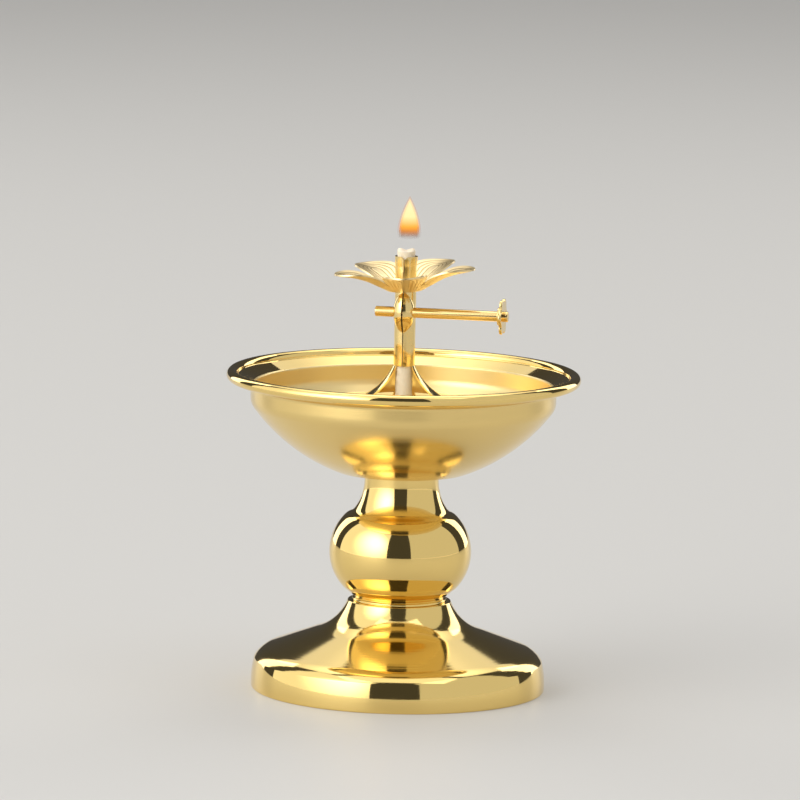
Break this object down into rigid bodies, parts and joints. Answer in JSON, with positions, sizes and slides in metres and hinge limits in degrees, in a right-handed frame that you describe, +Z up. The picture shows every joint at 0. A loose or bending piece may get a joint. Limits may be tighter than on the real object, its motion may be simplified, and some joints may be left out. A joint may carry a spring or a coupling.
{
  "type": "butter lamp",
  "caption": "Footed brass oil lamp: shallow bowl on a ball stem and flared base, with a loose wick tube, lotus dish and a knob that feeds the wick.",
  "frame": {"origin": "centre of the base's standing ring, on the surface the lamp stands on", "axes": "+Z up along the lamp's axis, +X along the spindle towards the knob, +Y to the back"},
  "size_m": [0.09, 0.09, 0.1129],
  "materials": {
    "polished_brass": "polished, gold plated",
    "satin_brass": "satin, spun",
    "sheet_brass": "bright, stamped sheet",
    "zinc_steel": "zinc plated",
    "cotton": "twisted cotton"
  },
  "bodies": {
    "stand": {"base": "polished_brass", "stem": "polished_brass", "bowl": "satin_brass", "bowl_boss": "satin_brass", "tie_rod": "zinc_steel", "base_washer": "zinc_steel", "spring_washer": "zinc_steel", "hex_nut": "zinc_steel"},
    "holder": {"wick_tube": "sheet_brass", "lotus_dish": "sheet_brass"},
    "feed": {"spindle": "sheet_brass", "knob": "sheet_brass"},
    "wick": {"wick": "cotton"}
  },
  "joints": [
    {"name": "holder_lift", "type": "slide", "parent": "stand", "child": "holder", "axis": [0, 0, 1], "range_m": [0, 0.035]},
    {"name": "spindle_turn", "type": "hinge", "parent": "holder", "child": "feed", "pos_m": [0, -0.0019, 0.0968], "axis": [1, 0, 0], "range_deg": [-74, 222]},
    {"name": "wick_feed", "type": "slide", "parent": "holder", "child": "wick", "axis": [0, 0, 1], "range_m": [-0.002, 0.006]}
  ],
  "couplings": [
    {"joint": "spindle_turn", "follows": "wick_feed", "rad_per_m": 645.16}
  ]
}
